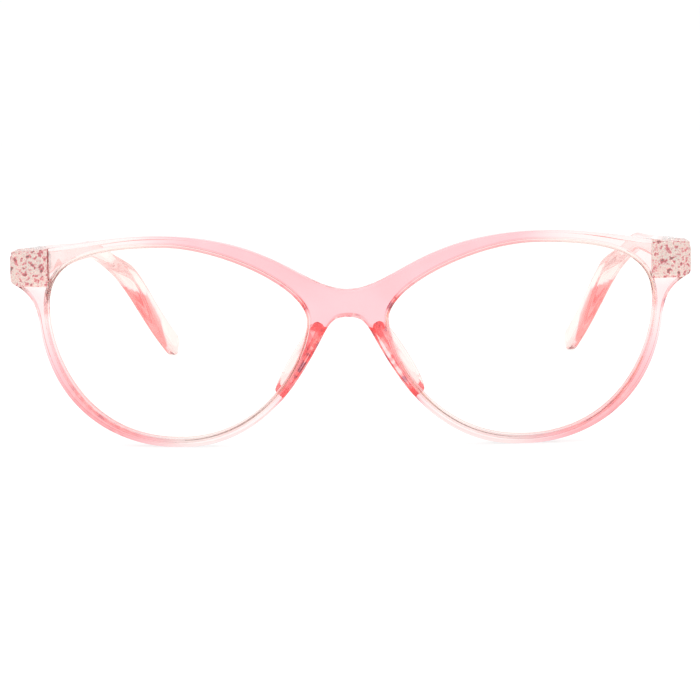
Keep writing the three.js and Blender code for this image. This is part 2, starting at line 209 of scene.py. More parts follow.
def grooved(profile, start, end):
    """The same profile with a lens groove cut into its wall between two depths."""
    groove = [
        (0, start),
        (GROOVE_DEPTH, start + GROOVE_SLANT),
        (GROOVE_DEPTH, end - GROOVE_SLANT),
        (0, end),
    ]
    middle = len(profile) // 2
    return profile[:middle] + groove + profile[middle:]


def inside(point, loop):
    """True if a point lies inside a closed loop."""
    x, y = point
    odd = False
    for a, b in zip(loop, loop[1:] + loop[:1]):
        if (a.y > y) != (b.y > y) and x < a.x + (y - a.y) * (b.x - a.x) / (b.y - a.y):
            odd = not odd
    return odd


def cap_triangles(outer, holes, step):
    """Points and triangles that fill a loop with holes, fine enough to press onto a curve."""
    loops = [outer, *holes]
    points = [p.copy() for loop in loops for p in loop]
    edges = []
    first = 0
    for loop in loops:
        edges += [(first + i, first + (i + 1) % len(loop)) for i in range(len(loop))]
        first += len(loop)
    border = np.array([(p.x, p.y) for p in points])
    low, high = border.min(0), border.max(0)
    rows = int((high[1] - low[1]) / (step * ROW_SPACING)) + 1
    columns = int((high[0] - low[0]) / step) + 2
    for row in range(rows):
        for column in range(columns):
            shift = 0.5 * step * (row % 2)
            x = low[0] + column * step + shift - step / 2
            p = (x, low[1] + (row + 0.5) * step * ROW_SPACING)
            if np.hypot(*(border - p).T).min() < EDGE_CLEARANCE * step or not inside(p, outer):
                continue
            if not any(inside(p, hole) for hole in holes):
                points.append(Vector(p))
    made, _, faces, *_ = delaunay_2d_cdt(points, edges, [], ENCLOSED, SNAP)
    kept = []
    for face in faces:
        centre = sum((made[i] for i in face), Vector((0, 0))) / len(face)
        if not any(inside(centre, hole) for hole in holes):
            kept.append(tuple(face))
    return made, kept


def plate(name, outline, profile, place, holes=(), hole_profile=None, step=GRID_STEP):
    """A closed body: two capped faces joined along every outline by a shaped edge.

    place turns (x, depth, z) of the flat plate into a point of the row frame."""
    made = bmesh.new()
    rims = []
    for loop, shape, sign in [(outline, profile, 1)] + [(h, hole_profile, -1) for h in holes]:
        rings = []
        for distance, depth in shape:
            ring = inward(loop, sign * distance)
            rings.append([made.verts.new(place(p.x, depth, p.y)) for p in ring])
        for ring, after in zip(rings, rings[1:]):
            for i in range(len(ring)):
                j = (i + 1) % len(ring)
                made.faces.new((ring[i], ring[j], after[j], after[i]))
        rims.append((loop, shape, sign, rings))
    for end in (0, -1):
        flat = [inward(loop, sign * shape[end][0]) for loop, shape, sign, _ in rims]
        depth = profile[end][1]
        points, triangles = cap_triangles(flat[0], flat[1:], step)
        verts = [v for *_, rings in rims for v in rings[end]]
        verts += [made.verts.new(place(p.x, depth, p.y)) for p in points[len(verts):]]
        for triangle in triangles:
            made.faces.new([verts[i] for i in triangle])
    bmesh.ops.recalc_face_normals(made, faces=made.faces)
    return finished(name, made)


def finished(name, made):
    mesh = bpy.data.meshes.new(name)
    made.to_mesh(mesh)
    made.free()
    piece = bpy.data.objects.new(name, mesh)
    bpy.context.scene.collection.objects.link(piece)
    mesh.shade_smooth()
    return piece


def applied(piece):
    """Turns a piece's modifiers into its mesh."""
    bpy.context.view_layer.update()
    graph = bpy.context.evaluated_depsgraph_get()
    mesh = bpy.data.meshes.new_from_object(piece.evaluated_get(graph))
    piece.modifiers.clear()
    piece.data = mesh
    return piece


def combined(piece, other, operation):
    """Joins another piece to this one, or cuts it away, and uses it up."""
    boolean = piece.modifiers.new("boolean", "BOOLEAN")
    boolean.operation = operation
    boolean.solver = "EXACT"
    boolean.object = other
    applied(piece)
    bpy.data.objects.remove(other)
    return piece


def creased(piece):
    """Shades a piece smooth, with sharp edges where it turns quickly."""
    piece.data.shade_smooth()
    piece.data.set_sharp_from_angle(angle=CREASE)
    return piece


def block(name, low, high, rounding, matrix, segments=3):
    """A box between two corners, with rounded edges."""
    made = bmesh.new()
    bmesh.ops.create_cube(made, size=1)
    low, high = Vector(low), Vector(high)
    for v in made.verts:
        v.co = Vector(h if c > 0 else l for c, l, h in zip(v.co, low, high))
    if rounding:
        bmesh.ops.bevel(
            made,
            geom=made.edges[:],
            offset=rounding,
            segments=segments,
            profile=0.5,
            affect="EDGES",
        )
    bmesh.ops.transform(made, matrix=matrix, verts=made.verts)
    if matrix.determinant() < 0:
        bmesh.ops.reverse_faces(made, faces=made.faces)
    return finished(name, made)


def turned(name, profile, matrix, sides=48):
    """A body turned about the local Z axis from (radius, height) pairs, closed at both ends."""
    made = bmesh.new()
    rings = []
    for radius, height in profile:
        ring = []
        for i in range(sides):
            angle = 2 * math.pi * i / sides
            x, y = radius * math.cos(angle), radius * math.sin(angle)
            ring.append(made.verts.new((x, y, height)))
        rings.append(ring)
    for ring, after in zip(rings, rings[1:]):
        for i in range(sides):
            j = (i + 1) % sides
            made.faces.new((ring[i], ring[j], after[j], after[i]))
    made.faces.new(rings[0])
    made.faces.new(rings[-1])
    bmesh.ops.transform(made, matrix=matrix, verts=made.verts)
    bmesh.ops.recalc_face_normals(made, faces=made.faces)
    return finished(name, made)


def bar(name, radius, start, end, matrix, sides=48):
    """A round bar along the local Z axis with broken edges."""
    inner = radius - BROKEN_EDGE
    profile = [
        (inner, start),
        (radius, start + BROKEN_EDGE),
        (radius, end - BROKEN_EDGE),
        (inner, end),
    ]
    return turned(name, profile, matrix, sides)


def split(piece, at, normal):
    """Adds edges where a plane crosses the piece, so that two looks can meet there."""
    made = bmesh.new()
    made.from_mesh(piece.data)
    geometry = made.verts[:] + made.edges[:] + made.faces[:]
    bmesh.ops.bisect_plane(made, geom=geometry, dist=MM / 1000, plane_co=at, plane_no=normal)
    made.to_mesh(piece.data)
    made.free()
    return piece


def marked(piece, depth_at):
    """Stores how deep the tint and painted light colour are at each corner of a piece, from 0 to 1.
    """
    values = [depth_at(v.co, v.normal) for v in piece.data.vertices]
    made = piece.data.attributes.new(TINT_AND_PAINTED_LIGHT, "FLOAT", "POINT")
    made.data.foreach_set("value", values)
    return piece


def parted(piece, look_at):
    """Gives each face the material whose number look_at returns."""
    for polygon in piece.data.polygons:
        polygon.material_index = int(look_at(polygon.center, polygon.normal))
    return piece


# ---------------------------------------------------------------- front, lenses and pads

TINT_AND_PAINTED_LIGHT = "tint_and_painted_light"
LENS_CENTRE = Vector((35, 21)) * MM
BRIDGE_LOBE = (math.radians(142), math.radians(40), math.radians(84), 0.5)
CHEEK_LOBE = (math.radians(-40), math.radians(12), math.radians(62), 0.66)
NOSE_LOW, NOSE_HIGH = 7 * MM, 32 * MM
SPECKLE_X, SPECKLE_Z = 61.4 * MM, 33.1 * MM

BUTT_GAP = 0.3 * MM
BUTT_INNER_X = 65.6 * MM
BUTT_OUTER_X = 69.4 * MM
BUTT_HEIGHT = 6.8 * MM
END_INNER_X = 61.6 * MM
END_FRONT_Y = 8 * MM
END_SHELF_Y = 12.4 * MM
END_TAPER_Y = 10 * MM
END_CORNER = 0.9 * MM
END_ROUND = 0.35 * MM
END_STEP = 0.25 * MM
STUD_HEIGHTS = (-1.5 * MM, 1.5 * MM)
STUD_RADIUS = 0.5 * MM
STUD_LENGTH = 2.8 * MM
STUD_PLAY = 0.12 * MM
LEAF_FRONT = END_SHELF_Y + 0.45 * MM - HINGE_SETBACK


def rounded(corners, radius, steps=5):
    """A polygon whose corners are turned into small arcs."""
    points = []
    for i, corner in enumerate(corners):
        corner = Vector(corner)
        start = corner + (Vector(corners[i - 1]) - corner).normalized() * radius
        end = corner + (Vector(corners[(i + 1) % len(corners)]) - corner).normalized() * radius
        points += quadratic(start, corner, end, steps) + [end]
    return points


def at_hinge(side):
    """From the hinge's own axes to the row frame, on one side."""
    lean = Matrix.Rotation(-TEMPLE_SLOPE, 4, "X")
    return Matrix.Scale(SIDES[side], 4, (1, 0, 0)) @ Matrix.Translation(HINGE) @ lean


def along_y(x, z=0):
    """From a bar along Z to the same bar along Y, at a place in the hinge's own axes."""
    return Matrix.Translation((x, 0, z)) @ Matrix.Rotation(-math.pi / 2, 4, "X")


def end_block(side):
    """The end piece behind the face: the hinge leaf's shelf and the wall the temple meets."""
    rear = HINGE_SETBACK - BUTT_GAP / 2
    corners = [
        (END_INNER_X, END_FRONT_Y),
        (HALF_WIDTH - 0.1 * MM, END_FRONT_Y),
        (HALF_WIDTH - 0.05 * MM, END_TAPER_Y),
        (BUTT_OUTER_X, rear),
        (BUTT_INNER_X, rear),
        (BUTT_INNER_X, END_SHELF_Y),
        (END_INNER_X, END_SHELF_Y),
    ]
    points = [Vector((p.x * SIDES[side], p.y)) for p in rounded(corners, END_CORNER)]
    outline = anticlockwise(spaced(points, END_STEP))
    bottom = HINGE.z - BUTT_HEIGHT / 2

    def place(x, depth, y):
        lean = (depth - BUTT_HEIGHT / 2) * math.tan(TEMPLE_SLOPE) * (y > END_SHELF_Y)
        return Vector((x, FACE_Y + y + lean, bottom + depth))

    profile = arc_profile(END_ROUND, BUTT_HEIGHT, 4)
    return plate(f"end_{side}", outline, profile, place, step=MM)


def front_tint_and_painted_refraction(at, normal):
    """Half deep over the bridge, brow and lower outer rim, fully deep beside the nose; the shares
    that follow which way a face turns are painted refraction colour.
    """
    angle = math.atan2(at.z - LENS_CENTRE.y, abs(at.x) - LENS_CENTRE.x)
    depth = 0
    for middle, full, end, strength in (BRIDGE_LOBE, CHEEK_LOBE):
        away = abs((angle - middle + math.pi) % (2 * math.pi) - math.pi)
        depth = max(depth, strength * (1 - smooth(full, end, away)))
    # Painted refraction colour beside the nose: faces turned down or in, and faces turned back near
    # the pad, go fully deep.
    facing = max(-normal.z, -normal.x * math.copysign(1, at.x))
    above_low = smooth(NOSE_LOW, NOSE_LOW + 4 * MM, at.z)
    beside_nose = above_low * (1 - smooth(NOSE_HIGH - 2 * MM, NOSE_HIGH, at.z))
    beside_nose *= 1 - smooth(15 * MM, 18 * MM, abs(at.x))
    down = (PAD_FOOT - PAD_TOP).normalized()
    beyond_pad = (abs(at.x) - PAD_TOP.x) * -down.z + (at.z - PAD_TOP.z) * down.x
    behind = smooth(0.3, 0.7, normal.y) * (1 - smooth(0.2 * MM, 1.2 * MM, beyond_pad))
    behind *= 1 - smooth(24 * MM, 26 * MM, at.z)
    # Painted refraction colour: faces turned towards the lens centre stay pale, and faces turned
    # outwards deepen further out from the nose.
    outward = normal.x * math.cos(angle) * math.copysign(1, at.x) + normal.z * math.sin(angle)
    depth *= smooth(-0.9, -0.3, outward)
    depth += 0.25 * depth * smooth(0.5, 0.9, outward) * smooth(30 * MM, 40 * MM, abs(at.x))
    # Painted light: faces turned outwards just below the end piece go deep.
    under_end = smooth(60 * MM, 62 * MM, abs(at.x)) * (1 - smooth(32 * MM, 33 * MM, at.z))
    under_end *= smooth(25 * MM, 28 * MM, at.z) * smooth(0, 0.5, outward)
    return max(depth, 0.9 * under_end, beside_nose * max(behind, smooth(0.1, 0.4, facing)))


def front_frame():
    wall = arc_profile(INNER_ROUND, FRONT_THICKNESS, 4)
    start = LENS_INSET - GROOVE_PLAY
    hole_profile = grooved(wall, start, LENS_INSET + LENS_THICKNESS + GROOVE_PLAY)
    piece = plate(
        "front",
        front_outline(),
        arc_profile(OUTER_ROUND, FRONT_THICKNESS),
        on_face,
        [aperture(1), aperture(-1)],
        hole_profile,
    )
    for side in SIDES:
        combined(piece, end_block(side), "UNION")
        for height in STUD_HEIGHTS:
            start = LEAF_FRONT - STUD_LENGTH - STUD_PLAY
            matrix = at_hinge(side) @ along_y(0, height)
            hole = bar("hole", STUD_RADIUS + STUD_PLAY, start, -MM, matrix)
            combined(piece, hole, "DIFFERENCE")
        split(piece, (SPECKLE_X * SIDES[side], 0, 0), (1, 0, 0))
    split(piece, (0, 0, SPECKLE_Z), (0, 0, 1))

    def look_at(at, normal):
        # Rear faces take the cut plastic and the upper ends the flecked plastic; the red and grey
        # flecks of both are painted glints.
        if at.y > FACE_Y + END_SHELF_Y - 2 * MM and normal.y > 0.5:
            return 1
        return 2 if abs(at.x) > SPECKLE_X and at.z > SPECKLE_Z else 0

    parted(piece, look_at)
    return marked(creased(piece), front_tint_and_painted_refraction)


def lens(side):
    edge = inward(aperture(SIDES[side]), -LENS_SEAT)
    profile = [
        (LENS_BEVEL + LENS_RING, 0),
        (LENS_BEVEL, 0),
        (0, LENS_BEVEL),
        (0, LENS_THICKNESS - LENS_BEVEL),
        (LENS_BEVEL, LENS_THICKNESS),
        (LENS_BEVEL + LENS_RING, LENS_THICKNESS),
    ]

    def place(x, depth, z):
        return on_face(x, depth + LENS_INSET, z)

    piece = plate(f"clear_lens_{side}", edge, profile, place, step=2.5 * MM)
    # The lower part of the lens edge takes the ground edge, whose colour carries the painted groove
    # shadow.
    return creased(parted(piece, lambda at, normal: abs(normal.y) < 0.9 and at.z < 17 * MM))


PAD_TOP = Vector((4.3, 0, 24.7)) * MM
PAD_FOOT = Vector((13.5, 0, 9.6)) * MM
PAD_DEPTH = 7.6 * MM
PAD_THICKNESS = 2.2 * MM
PAD_ROUND = 0.85 * MM
PAD_FLARE = math.radians(8)
PAD_SUNK = 2 * MM
PAD_GAP = 0.04 * MM
SLAB_HALF_WIDTH, SLAB_TOP = 12 * MM, 35 * MM  # of the face that the pad's root is cut to


def nose_pad(side):
    """A crowned pad that runs down the side of the nose, bonded to the back of the rim."""
    down = PAD_FOOT - PAD_TOP
    length = down.length
    down.normalize()
    across = Vector((-down.z, 0, down.x))
    back = Vector((0, math.cos(PAD_FLARE), 0)) + across * math.sin(PAD_FLARE)
    through = down.cross(back)
    base = PAD_TOP + Vector((0, FACE_Y + FRONT_THICKNESS + sag(PAD_TOP.x, PAD_TOP.z) - PAD_SUNK, 0))
    reach = PAD_DEPTH
    loop = [Vector((0, 0)), Vector((length, 0))]
    loop += cubic((length, 0), (length, reach * 0.7), (length * 0.8, reach), (length * 0.55, reach))
    loop += cubic((length * 0.55, reach), (length * 0.25, reach), (0, reach * 0.8), (0, 0))
    outline = anticlockwise(spaced(loop, 0.45 * MM))

    def place(u, depth, v):
        point = base + down * u + back * v + through * depth
        return Vector((point.x * SIDES[side], point.y, point.z))

    profile = arc_profile(PAD_ROUND, PAD_THICKNESS, 6)
    piece = plate(f"pad_{side}", outline, profile, place, step=0.9 * MM)
    x = PAD_FOOT.x * SIDES[side]
    low, high = x - SLAB_HALF_WIDTH, x + SLAB_HALF_WIDTH
    corners = [(low, 0), (high, 0), (high, SLAB_TOP), (low, SLAB_TOP)]
    slab = plate(
        "slab",
        anticlockwise(spaced([Vector(c) for c in corners], 4 * MM)),
        [(0, -3 * MM), (0, FRONT_THICKNESS + PAD_GAP)],
        on_face,
        step=2 * MM,
    )
    combined(piece, slab, "DIFFERENCE")
    lens_edge = aperture(SIDES[side])

    def painted_rim_refraction(at, normal):
        """Coral only behind the rim, and clear where the pad stands behind the lens: painted colour
        of light refracted through the rim.
        """
        if inside((at.x, at.z), lens_edge):
            return 0
        behind_rim = at.y - sag(at.x, at.z) - FACE_Y - FRONT_THICKNESS
        above_foot = smooth(PAD_FOOT.z + 1.5 * MM, PAD_FOOT.z + 4.5 * MM, at.z)
        return above_foot * (1 - smooth(MM, 2.5 * MM, behind_rim))

    return marked(creased(piece), painted_rim_refraction)


# ---------------------------------------------------------------- temples

TEMPLE_OUTER_X = BUTT_OUTER_X - HINGE.x
TEMPLE_BUTT_THICKNESS = TEMPLE_OUTER_X - 1.6 * MM
STRAIGHT_LENGTH = 72 * MM
EAR_RADIUS = 62 * MM
EAR_TURN = math.radians(41)
EAR_LENGTH = 22.6 * MM
BEND_END = STRAIGHT_LENGTH + EAR_RADIUS * EAR_TURN
TEMPLE_LENGTH = BEND_END + EAR_LENGTH
TIP_LENGTH = 3 * MM
TEMPLE_BOW = 0.0001 / MM
EAR_BOW = 0.0039 / MM
EAR_BOW_START = 73 * MM
TEMPLE_CORNERS = 40
TEMPLE_STEP = 1.2 * MM
BUTT_EDGE = 0.45 * MM
ARM_THICKNESS, EAR_THICKNESS, TIP_THICKNESS = 2.4 * MM, 4.6 * MM, 3.1 * MM
ARM_HEIGHT, EAR_HEIGHT = 4.2 * MM, 7 * MM
SECTION_POWER = 0.5  # below 1, the temple's section is squarer than an ellipse
CUT_TOLERANCE = 0.05 * MM


def temple_thickness(along):
    arm = mixed(TEMPLE_BUTT_THICKNESS, ARM_THICKNESS, smooth(16 * MM, 42 * MM, along))
    ear = mixed(EAR_THICKNESS, TIP_THICKNESS, smooth(102 * MM, 137 * MM, along))
    return mixed(arm, ear, smooth(93 * MM, 104 * MM, along))


def temple_height(along):
    arm = mixed(BUTT_HEIGHT, ARM_HEIGHT, smooth(8 * MM, 70 * MM, along))
    return mixed(arm, EAR_HEIGHT, smooth(90 * MM, 130 * MM, along))


def temple_line(along):
    """The temple's middle line, seen from the side: straight, then down round the ear."""
    turn = min(EAR_TURN, max(0, (along - STRAIGHT_LENGTH) / EAR_RADIUS))
    straight = min(along, STRAIGHT_LENGTH)
    ear = max(0, along - STRAIGHT_LENGTH - EAR_RADIUS * EAR_TURN)
    y = straight + EAR_RADIUS * math.sin(turn) + ear * math.cos(turn)
    z = -EAR_RADIUS * (1 - math.cos(turn)) - ear * math.sin(turn)
    return y, z, turn


def temple_place(at):
    """Distance along the temple, and height above its middle line, of a point."""
    turn = math.atan2(at.y - STRAIGHT_LENGTH, at.z + EAR_RADIUS)
    if turn < 0:
        return at.y, at.z
    if turn < EAR_TURN:
        rise = math.hypot(at.y - STRAIGHT_LENGTH, at.z + EAR_RADIUS) - EAR_RADIUS
        return STRAIGHT_LENGTH + EAR_RADIUS * turn, rise
    y, z, turn = temple_line(BEND_END)
    ahead, above = at.y - y, at.z - z
    along = BEND_END + ahead * math.cos(turn) - above * math.sin(turn)
    return along, ahead * math.sin(turn) + above * math.cos(turn)


def temple_bow(y):
    return TEMPLE_BOW * y**2 + EAR_BOW * max(0, y - EAR_BOW_START) ** 2


# Painted reflection on the ear pieces: distance along, and how far the coral reaches round the
# section from its outer lower edge
EAR_PAINTED_REFLECTION = [(96, 0), (105, 1.2), (109, 4.6), (114, 7), (120, 8)]
EAR_PAINTED_REFLECTION += [(124, 7), (128, 4), (133, 2.2), (138, 0)]
EAR_PAINTED_REFLECTION = [(along * MM, reach * MM) for along, reach in EAR_PAINTED_REFLECTION]


def temple_rings():
    """(distance along, edge inset, share of the full section) of each ring of the temple."""
    start = BUTT_GAP / 2
    edge = BUTT_EDGE
    rings = []
    for i in range(5):
        angle = math.pi / 2 * i / 4
        rings.append((start + edge * (1 - math.cos(angle)), edge * (1 - math.sin(angle)), 1))
    body_end = TEMPLE_LENGTH - TIP_LENGTH
    count = round((body_end - start - edge) / TEMPLE_STEP)
    rings += [(mixed(start + edge, body_end, i / count), 0, 1) for i in range(1, count + 1)]
    for i in range(1, 9):
        u = math.sin(math.pi / 2 * i / 8) * 0.998
        rings.append((body_end + TIP_LENGTH * u, 0, math.sqrt(1 - u * u)))
    return rings


def temple(side):
    made = bmesh.new()
    rings = []
    for along, inset, share in temple_rings():
        y, z, turn = temple_line(along)
        thickness, height = temple_thickness(along), temple_height(along)
        middle = TEMPLE_OUTER_X - temple_bow(y) - thickness / 2
        ring = []
        for i in range(TEMPLE_CORNERS):
            angle = 2 * math.pi * (i + 0.5) / TEMPLE_CORNERS
            c, s = math.cos(angle), math.sin(angle)
            across = math.copysign(abs(c) ** SECTION_POWER, c) * (thickness / 2 - inset) * share
            rise = math.copysign(abs(s) ** SECTION_POWER, s) * (height / 2 - inset) * share
            point = (middle + across, y + rise * math.sin(turn), z + rise * math.cos(turn))
            ring.append(made.verts.new(point))
        rings.append(ring)
    for ring, after in zip(rings, rings[1:]):
        for i in range(TEMPLE_CORNERS):
            j = (i + 1) % TEMPLE_CORNERS
            made.faces.new((ring[i], ring[j], after[j], after[i]))
    made.faces.new(rings[0])
    made.faces.new(rings[-1])
    bmesh.ops.transform(made, matrix=at_hinge(side), verts=made.verts)
    bmesh.ops.recalc_face_normals(made, faces=made.faces)
    piece = finished(f"arm_{side}", made)
    half_pocket = HOUSING_HEIGHT / 2 + POCKET_PLAY
    pocket_wall = HOUSING_X + HOUSING_WIDTH / 2 + POCKET_PLAY
    pocket = block(
        "pocket",
        (-2 * MM, HOUSING_START - POCKET_PLAY, -half_pocket),
        (pocket_wall, HOUSING_END + POCKET_PLAY, half_pocket),
        0.5 * MM,
        at_hinge(side),
    )
    slot = block(
        "slot",
        (-2 * MM, -MM, -NECK_SLOT_HEIGHT / 2),
        (HOUSING_X + 1.1 * MM, HOUSING_START + 0.5 * MM, NECK_SLOT_HEIGHT / 2),
        0.3 * MM,
        at_hinge(side),
    )
    combined(piece, pocket, "DIFFERENCE")
    combined(piece, slot, "DIFFERENCE")
    to_hinge = at_hinge(side).inverted()
    turned_normal = to_hinge.to_3x3()

    def is_cut(at, normal):
        """True on the butt face and on the walls of the pocket."""
        at = to_hinge @ at
        if at.y < BUTT_GAP / 2 + CUT_TOLERANCE:
            return True
        beyond = at.y >= HOUSING_END + POCKET_PLAY + CUT_TOLERANCE
        if beyond or abs(at.z) >= half_pocket + 0.01 * MM:
            return False
        is_side_wall = abs((turned_normal @ normal).x) < 0.999
        return at.x < pocket_wall + CUT_TOLERANCE and (is_side_wall or at.x > HOUSING_X)

    def painted_temple_reflection(at, normal):
        """Coral from the outer lower edge inwards across the underside, then up the inner face:
        painted colour of light reflected inside the plastic.
        """
        at = to_hinge @ at
        along, rise = temple_place(at)
        if (turned_normal @ normal).x > 0.6 or along < EAR_PAINTED_REFLECTION[0][0]:
            return 0
        y = temple_line(along)[0]
        across = TEMPLE_OUTER_X - temple_bow(y) - at.x
        reach = 0
        for (start, low), (end, high) in zip(EAR_PAINTED_REFLECTION, EAR_PAINTED_REFLECTION[1:]):
            if start <= along <= end:
                reach = mixed(low, high, (along - start) / (end - start))
        around = across + max(0, rise + temple_height(along) / 2)
        return 1 - smooth(reach - 0.4 * MM, reach + 0.4 * MM, around)

    # The butt face and pocket walls take the cut plastic, whose red and grey speckle is painted
    # glints.
    parted(piece, is_cut)
    return marked(creased(piece), painted_temple_reflection)


# ---------------------------------------------------------------- hinge, in its own axes

PIN_BORE = 0.75 * MM
PIN_RADIUS = 0.6 * MM
BARREL_RADIUS = 1.25 * MM
MIDDLE_KNUCKLE = 1.5 * MM
OUTER_KNUCKLE = 1.45 * MM
KNUCKLE_PLAY = 0.1 * MM
LEAF_HALF_WIDTH = 1.3 * MM
LEAF_THICKNESS = MM
LEAF_HEIGHT = 5 * MM
ARM_HALF_WIDTH = 0.95 * MM
SCREW_HEAD_RADIUS = 1.15 * MM
SCREW_HEAD_HEIGHT = 0.7 * MM
HOUSING_X = 2.1 * MM
HOUSING_WIDTH = 2.7 * MM
HOUSING_HEIGHT = 3.5 * MM
HOUSING_START = 2.05 * MM
HOUSING_END = 14.05 * MM
POCKET_PLAY = 0.3 * MM
NECK_SLOT_HEIGHT = 2.2 * MM
CHANNEL_WIDTH, CHANNEL_HEIGHT, CHANNEL_END = 1.7 * MM, 2.3 * MM, 6.9 * MM
CHAMBER_WIDTH, CHAMBER_HEIGHT, WALL_END = 2.1 * MM, 2.3 * MM, 7.7 * MM
PLUG_LENGTH = 0.9 * MM
SLIDER_WIDTH = 1.3 * MM
SLIDER_END = 6.5 * MM
NECK_INSET = 0.03 * MM  # necks and arms are this much thinner than a knuckle, above and below
OVERLAP = 0.2 * MM  # of two bodies that are joined into one
BORE_REACH = 4 * MM
SLIDE_CORNER, SLIDE_EDGE, SLIDE_STEP = 0.3 * MM, 0.06 * MM, 0.15 * MM
THREAD_PITCH, THREAD_DEPTH, THREAD_TURNS = 0.25 * MM, 0.07 * MM, 7
DRIVER_SLOT_HALF_WIDTH, DRIVER_SLOT_DEPTH = 0.18 * MM, 0.32 * MM
ROD_RADIUS, ROD_BORE, ROD_START = 0.3 * MM, 0.45 * MM, 5.2 * MM
ROD_HEAD_RADIUS, ROD_HEAD_START, ROD_HEAD_END = 0.85 * MM, 12.1 * MM, 12.7 * MM
SPRING_RADIUS, SPRING_WIRE, SPRING_TURNS = 0.62 * MM, 0.13 * MM, 6
SPRING_START, SPRING_END = 7.95 * MM, 11.85 * MM
SPRING_STEPS, SPRING_SIDES = 24, 8  # per turn of the coil, and round its wire


def hinge_leaf(side):
    matrix = at_hinge(side)
    rear = LEAF_FRONT + LEAF_THICKNESS
    inner = MIDDLE_KNUCKLE / 2 + KNUCKLE_PLAY
    piece = block(
        f"leaf_{side}",
        (-LEAF_HALF_WIDTH, LEAF_FRONT, -LEAF_HEIGHT / 2),
        (LEAF_HALF_WIDTH, rear, LEAF_HEIGHT / 2),
        0.25 * MM,
        matrix,
    )
    for bottom in (inner, -inner - OUTER_KNUCKLE):
        top = bottom + OUTER_KNUCKLE
        low = (-ARM_HALF_WIDTH, rear - OVERLAP, bottom + NECK_INSET)
        arm = block("arm", low, (ARM_HALF_WIDTH, 0, top - NECK_INSET), 0.12 * MM, matrix)
        combined(piece, arm, "UNION")
        combined(piece, bar("knuckle", BARREL_RADIUS, bottom, top, matrix), "UNION")
    for height in STUD_HEIGHTS:
        start = LEAF_FRONT - STUD_LENGTH
        placed = matrix @ along_y(0, height)
        stud = bar("stud", STUD_RADIUS, start, LEAF_FRONT + OVERLAP, placed, sides=24)
        combined(piece, stud, "UNION")
    combined(piece, bar("bore", PIN_BORE, -BORE_REACH, BORE_REACH, matrix), "DIFFERENCE")
    return creased(piece)


def hinge_slide(side):
    """The temple's knuckle, on a neck that turns out to the bar in the spring housing."""
    matrix = at_hinge(side)
    half = SLIDER_WIDTH / 2
    corners = [
        (0.7 * MM, -0.9 * MM),
        (HOUSING_X + half, HOUSING_START - 0.4 * MM),
        (HOUSING_X + half, SLIDER_END),
        (HOUSING_X - half, SLIDER_END),
        (HOUSING_X - half, HOUSING_START - 0.35 * MM),
        (-0.8 * MM, 0.7 * MM),
    ]
    outline = anticlockwise(spaced(rounded(corners, SLIDE_CORNER), SLIDE_STEP))
    thickness = MIDDLE_KNUCKLE - 2 * NECK_INSET

    def place(x, depth, y):
        return matrix @ Vector((x, y, depth - thickness / 2))

    profile = arc_profile(SLIDE_EDGE, thickness, 3)
    piece = plate(f"slide_{side}", outline, profile, place, step=0.6 * MM)
    knuckle = bar("knuckle", BARREL_RADIUS, -MIDDLE_KNUCKLE / 2, MIDDLE_KNUCKLE / 2, matrix)
    combined(piece, knuckle, "UNION")
    combined(piece, bar("bore", PIN_BORE, -BORE_REACH, BORE_REACH, matrix), "DIFFERENCE")
    rod_axis = matrix @ along_y(HOUSING_X)
    hole = bar("rod hole", ROD_BORE, ROD_START - 0.15 * MM, SLIDER_END + MM, rod_axis)
    return creased(combined(piece, hole, "DIFFERENCE"))


def hinge_screw(side):
    """A slotted screw, with shallow rings for its thread."""
    matrix = at_hinge(side)
    top = MIDDLE_KNUCKLE / 2 + KNUCKLE_PLAY + OUTER_KNUCKLE
    head = top + KNUCKLE_PLAY
    head_top = head + SCREW_HEAD_HEIGHT
    tip = -top - 0.2 * MM
    profile = [(PIN_RADIUS - 0.15 * MM, tip), (PIN_RADIUS, tip + 0.15 * MM)]
    for i in range(THREAD_TURNS):
        low = tip + 0.25 * MM + i * THREAD_PITCH
        profile += [(PIN_RADIUS, low), (PIN_RADIUS - THREAD_DEPTH, low + THREAD_PITCH / 2)]
    thread_end = tip + 0.3 * MM + THREAD_TURNS * THREAD_PITCH
    profile += [(PIN_RADIUS, thread_end), (PIN_RADIUS, head)]
    dome = [
        (SCREW_HEAD_RADIUS * math.cos(a), head_top - 0.3 * MM * (1 - math.sin(a)))
        for a in (math.pi / 2 * i / 6 for i in range(6))
    ]
    profile += [(SCREW_HEAD_RADIUS - BROKEN_EDGE, head), (SCREW_HEAD_RADIUS, head + BROKEN_EDGE)]
    profile += dome
    piece = turned(f"screw_{side}", profile, matrix)
    low = (-DRIVER_SLOT_HALF_WIDTH, -2 * MM, head_top - DRIVER_SLOT_DEPTH)
    slot = block("slot", low, (DRIVER_SLOT_HALF_WIDTH, 2 * MM, head_top + MM), 0, matrix)
    return creased(combined(piece, slot, "DIFFERENCE"))


def spring_housing(side):
    matrix = at_hinge(side)
    half_width, half_height = HOUSING_WIDTH / 2, HOUSING_HEIGHT / 2
    piece = block(
        f"housing_{side}",
        (HOUSING_X - half_width, HOUSING_START, -half_height),
        (HOUSING_X + half_width, HOUSING_END, half_height),
        0.45 * MM,
        matrix,
        segments=5,
    )
    hollows = [
        (CHANNEL_WIDTH, CHANNEL_HEIGHT, HOUSING_START - MM, CHANNEL_END),
        (CHAMBER_WIDTH, CHAMBER_HEIGHT, WALL_END, HOUSING_END + MM),
    ]
    for width, height, start, end in hollows:
        low = (HOUSING_X - width / 2, start, -height / 2)
        hollow = block("hollow", low, (HOUSING_X + width / 2, end, height / 2), 0.1 * MM, matrix)
        combined(piece, hollow, "DIFFERENCE")
    bore = bar("bore", ROD_BORE, CHANNEL_END - MM, WALL_END + MM, matrix @ along_y(HOUSING_X))
    return creased(combined(piece, bore, "DIFFERENCE"))


